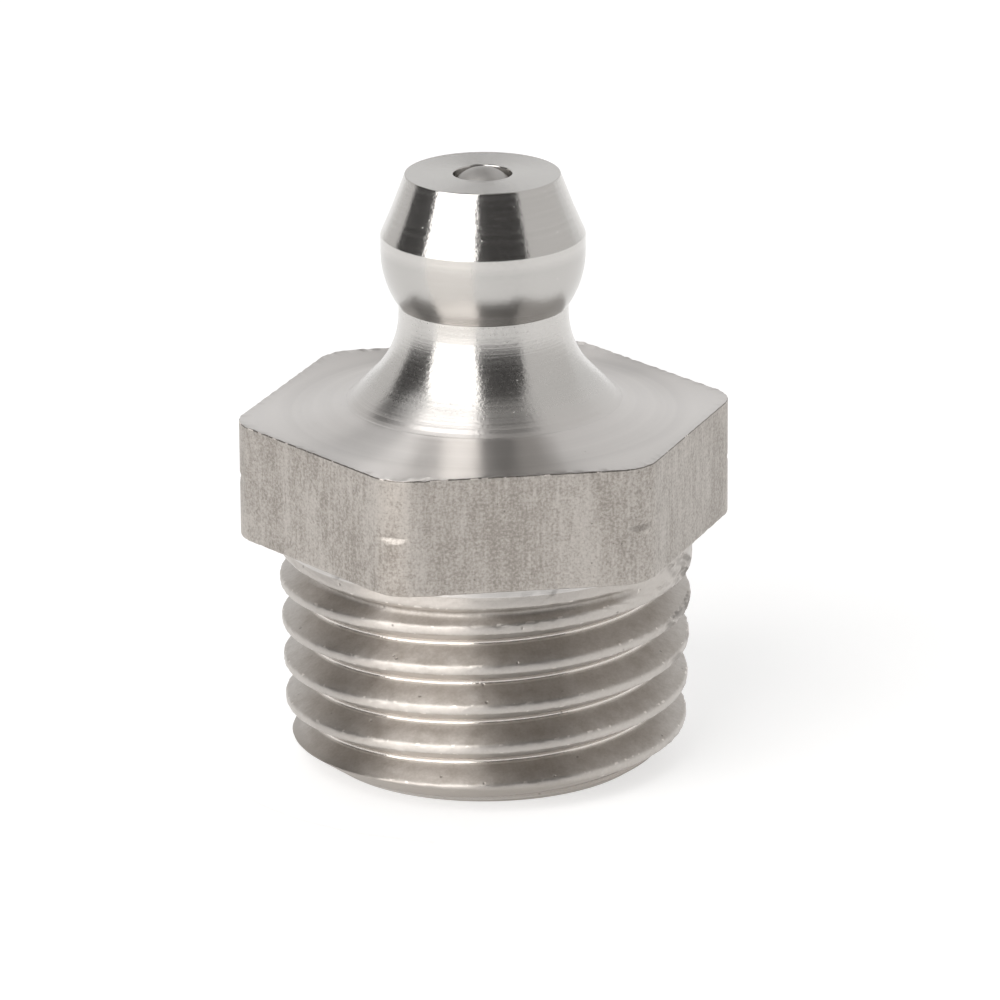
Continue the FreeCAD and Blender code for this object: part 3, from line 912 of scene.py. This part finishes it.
class NIPPLE_PG_finishes(bpy.types.PropertyGroup):
    """Colours and roughness of the nipple's surfaces."""

    turned_colour: colour_property("Turned steel", "Head and neck", (0.62, 0.605, 0.585))
    faced_colour: colour_property("Faced steel", "Top of the hexagon", (0.715, 0.69, 0.67))
    drawn_colour: colour_property("Drawn steel", "Sides of the hexagon", (0.46, 0.43, 0.40))
    stain_colour: colour_property("Scale", "Brown scale in the drawn and cut surfaces",
                                  (0.40, 0.365, 0.33))
    thread_colour: colour_property("Cut steel", "Flanks of the thread", (0.56, 0.53, 0.50))
    ball_colour: colour_property("Ball steel", "Check ball", (0.50, 0.485, 0.47))
    spring_colour: colour_property("Spring steel", "Spring wire", (0.36, 0.35, 0.34))
    turned_roughness: roughness_property("Turned roughness", "Head and neck", 0.2)
    faced_roughness: roughness_property("Faced roughness", "Top of the hexagon", 0.33)
    drawn_roughness: roughness_property("Drawn roughness", "Sides of the hexagon", 0.42)
    thread_roughness: roughness_property("Thread roughness", "Cut thread", 0.42)
    ball_roughness: roughness_property("Ball roughness", "Check ball", 0.5)


class NIPPLE_PG_sizes(bpy.types.PropertyGroup):
    """Sizes of the loose pieces inside the body."""

    ball_radius: bpy.props.FloatProperty(
        name="Ball radius", description="Radius of the check ball", default=1.1 * MM,
        subtype="DISTANCE", unit="LENGTH", min=0.5 * MM, max=1.3 * MM)
    ball_height: bpy.props.FloatProperty(
        name="Ball height", description="Height of the ball's centre when seated",
        default=18.2598 * MM, subtype="DISTANCE", unit="LENGTH")
    wire_radius: bpy.props.FloatProperty(
        name="Wire radius", description="Half the spring wire's thickness", default=0.15 * MM,
        subtype="DISTANCE", unit="LENGTH", min=0.05 * MM, max=0.3 * MM)
    coil_radius: bpy.props.FloatProperty(
        name="Coil radius", description="From the axis to the wire's centre", default=1.0 * MM,
        subtype="DISTANCE", unit="LENGTH")
    coil_turns: bpy.props.IntProperty(
        name="Coil turns", description="Turns of the spring with its closed ends",
        default=14, min=4, max=30)


class NIPPLE_PG_studio(bpy.types.PropertyGroup):
    """Light, table and camera."""

    table_colour: colour_property("Table", "Colour of the table", (0.55, 0.55, 0.55))
    table_glow: bpy.props.FloatProperty(
        name="Table glow", description="Light that the table gives of its own", default=0.59,
        min=0)
    room_light: bpy.props.FloatProperty(
        name="Room light", description="Brightness of the white tent round the table",
        default=0.82, min=0)
    window_light: bpy.props.FloatProperty(
        name="Window light", description="Brightness of the tall soft lamp on the left",
        default=3.0, min=0)
    camera_azimuth: bpy.props.FloatProperty(
        name="Camera azimuth", description="Turn of the camera about the nipple",
        default=math.radians(-8.56), subtype="ANGLE", unit="ROTATION")
    camera_elevation: bpy.props.FloatProperty(
        name="Camera elevation", description="How high the camera looks down from",
        default=math.radians(17.65), subtype="ANGLE", unit="ROTATION")
    camera_distance: bpy.props.FloatProperty(
        name="Camera distance", description="From the camera to the hexagon's top",
        default=238.052 * MM, subtype="DISTANCE", unit="LENGTH")


class NIPPLE_OT_body(bpy.types.Operator):
    """Build the turned body with its hexagon, thread and grease way"""

    bl_idname = "nipple.body"
    bl_label = "Body"

    def execute(self, context):
        settings = context.scene.nipple_finishes
        turned = turned_steel(settings)
        bored = bored_steel(settings)
        materials = [
            turned, drawn_steel(settings), faced_steel(settings), turned, turned,
            turned, bored, turned, cut_steel(settings),
        ]
        add_piece("turned_body", body_surface(), materials, "nipple", "nipple_body")
        return {"FINISHED"}


class NIPPLE_OT_ball(bpy.types.Operator):
    """Build the check ball"""

    bl_idname = "nipple.ball"
    bl_label = "Check ball"

    def execute(self, context):
        sizes = context.scene.nipple_sizes
        surface = ball_surface(sizes.ball_radius / MM, sizes.ball_height / MM)
        materials = [ball_steel(context.scene.nipple_finishes)]
        add_piece("ground_ball", surface, materials, "ball", "check_ball")
        return {"FINISHED"}


class NIPPLE_OT_spring(bpy.types.Operator):
    """Build the coil spring under the ball"""

    bl_idname = "nipple.spring"
    bl_label = "Spring"

    def execute(self, context):
        sizes = context.scene.nipple_sizes
        low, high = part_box("ball_spring")
        wire = sizes.wire_radius / MM
        surface = spring_surface(
            low.z / MM + wire + 0.002, high.z / MM - wire - 0.002,
            sizes.coil_radius / MM, wire, sizes.coil_turns,
        )
        materials = [spring_steel(context.scene.nipple_finishes)]
        piece = add_piece(
            "wound_spring", surface, materials, "nipple", "ball_spring"
        )
        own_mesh(piece)
        return {"FINISHED"}


class NIPPLE_OT_stage(bpy.types.Operator):
    """Set up the table, the light tent and the camera"""

    bl_idname = "nipple.stage"
    bl_label = "Stage"

    def execute(self, context):
        studio = context.scene.nipple_studio
        corners = np.array([[-3, -3, 0], [3, -3, 0], [3, 3, 0], [-3, 3, 0]], float)
        stage_piece("table", corners, np.array([[0, 1, 2, 3]]),
                    floor_material(tuple(studio.table_colour), studio.table_glow), True)
        black = lamp_material("black_cloth", (0.06, 0.058, 0.057), 1.0)
        white = lamp_material("window_cloth", (1.0, 0.985, 0.97), studio.window_light)
        deep = lamp_material("overhead_cloth", (0.02, 0.02, 0.02), 1.0)
        dim = lamp_material("grey_cloth", (0.17, 0.16, 0.15), 1.0)
        over = lamp_material("window_overhead", (1.0, 0.985, 0.97), 1.15)
        haze = lamp_material("pale_cloth", (0.5, 0.49, 0.48), 1.0)
        pale = lamp_material("window_edge", (1.0, 0.985, 0.97), 0.88)
        side = lamp_material("tent_side", (1.0, 0.985, 0.97), 0.88 * studio.room_light)
        pool = lamp_material("light_on_table", (1.0, 0.97, 0.94), 1.2)
        facing = studio.camera_azimuth
        for name, low_edge, high_edge, rise_to, material in (
            ("window_left", (-66, -11), (-82, -7), 71, white),
            ("cloth_left", (-106, -66), (-132, -76), 45, black),
            ("cloth_front", (-11, 48), (-7, 64), 71, black),
            ("tent_right", (48, 125), (62, 125), 80, side),
            ("tent_left", (-150, -106), (-150, -132), 45, side),
        ):
            spots, faces = dome_patch(low_edge, high_edge, rise_to, TENT_REACH, facing)
            stage_piece(name, spots, faces, material, False)
        for name, angles, tilts, material in (
            ("cloth_over_left", (-22, -9), (2, 29), deep),
            ("window_over", (-9, -1), (2, 29), over),
            ("cloth_over_front", (-1, 10), (2, 29), deep),
            ("cloth_over_right", (10, 21), (2, 29), dim),
            ("haze_over_left", (-26, -11), (29, 45.7), haze),
            ("window_over_foot", (-11, -1), (29, 45.7), pale),
            ("haze_over_front", (-1, 24), (29, 45.7), haze),
        ):
            spots, faces = fan_patch(
                angles, tilts, OVERHEAD_REACH, facing, studio.camera_elevation
            )
            stage_piece(name, spots, faces, material, False)
        glow_spots = table_patch((-66, -11), (0.009, 0.5), facing)
        stage_piece("window_on_table", *glow_spots, pool, False)
        world = bpy.data.worlds.new("white_tent")
        world.use_nodes = True
        tent = world.node_tree.nodes["Background"]
        tent.inputs["Color"].default_value = (1.0, 0.995, 0.99, 1)
        tent.inputs["Strength"].default_value = studio.room_light
        context.scene.world = world
        context.scene.view_settings.view_transform = "Standard"

        turn, back = camera_turn(
            facing, studio.camera_elevation, CAMERA_ROLL, CAMERA_AIM
        )
        lens = bpy.data.cameras.new("camera")
        lens.lens = LENS_LENGTH
        lens.sensor_width = 36
        lens.clip_start = 0.01
        lens.clip_end = 10
        camera = bpy.data.objects.new("camera", lens)
        place = Vector((0, 0, HEXAGON_HIGH * MM)) + back * studio.camera_distance
        camera.matrix_world = Matrix.Translation(place) @ turn.to_4x4()
        context.scene.collection.objects.link(camera)
        context.scene.camera = camera
        return {"FINISHED"}


class NIPPLE_PT_panel(bpy.types.Panel):
    """The nipple's pieces and its stage"""

    bl_label = "Grease nipple"
    bl_idname = "NIPPLE_PT_panel"
    bl_space_type = "VIEW_3D"
    bl_region_type = "UI"
    bl_category = "Nipple"

    def draw(self, context):
        column = self.layout.column(align=True)
        for operator in OPERATORS:
            column.operator(operator.bl_idname)


OPERATORS = (NIPPLE_OT_body, NIPPLE_OT_ball, NIPPLE_OT_spring, NIPPLE_OT_stage)
GROUPS = {
    "nipple_finishes": NIPPLE_PG_finishes,
    "nipple_sizes": NIPPLE_PG_sizes,
    "nipple_studio": NIPPLE_PG_studio,
}


def register():
    for group in (*GROUPS.values(), *OPERATORS, NIPPLE_PT_panel):
        bpy.utils.register_class(group)
    for name, group in GROUPS.items():
        setattr(bpy.types.Scene, name, bpy.props.PointerProperty(type=group))


def unregister():
    for name in GROUPS:
        delattr(bpy.types.Scene, name)
    for group in reversed((*GROUPS.values(), *OPERATORS, NIPPLE_PT_panel)):
        bpy.utils.unregister_class(group)


def main():
    """Build every piece, then the stage."""
    register()
    bpy.ops.nipple.body()
    bpy.ops.nipple.ball()
    bpy.ops.nipple.spring()
    bpy.ops.nipple.stage()


if __name__ == "__main__":
    main()
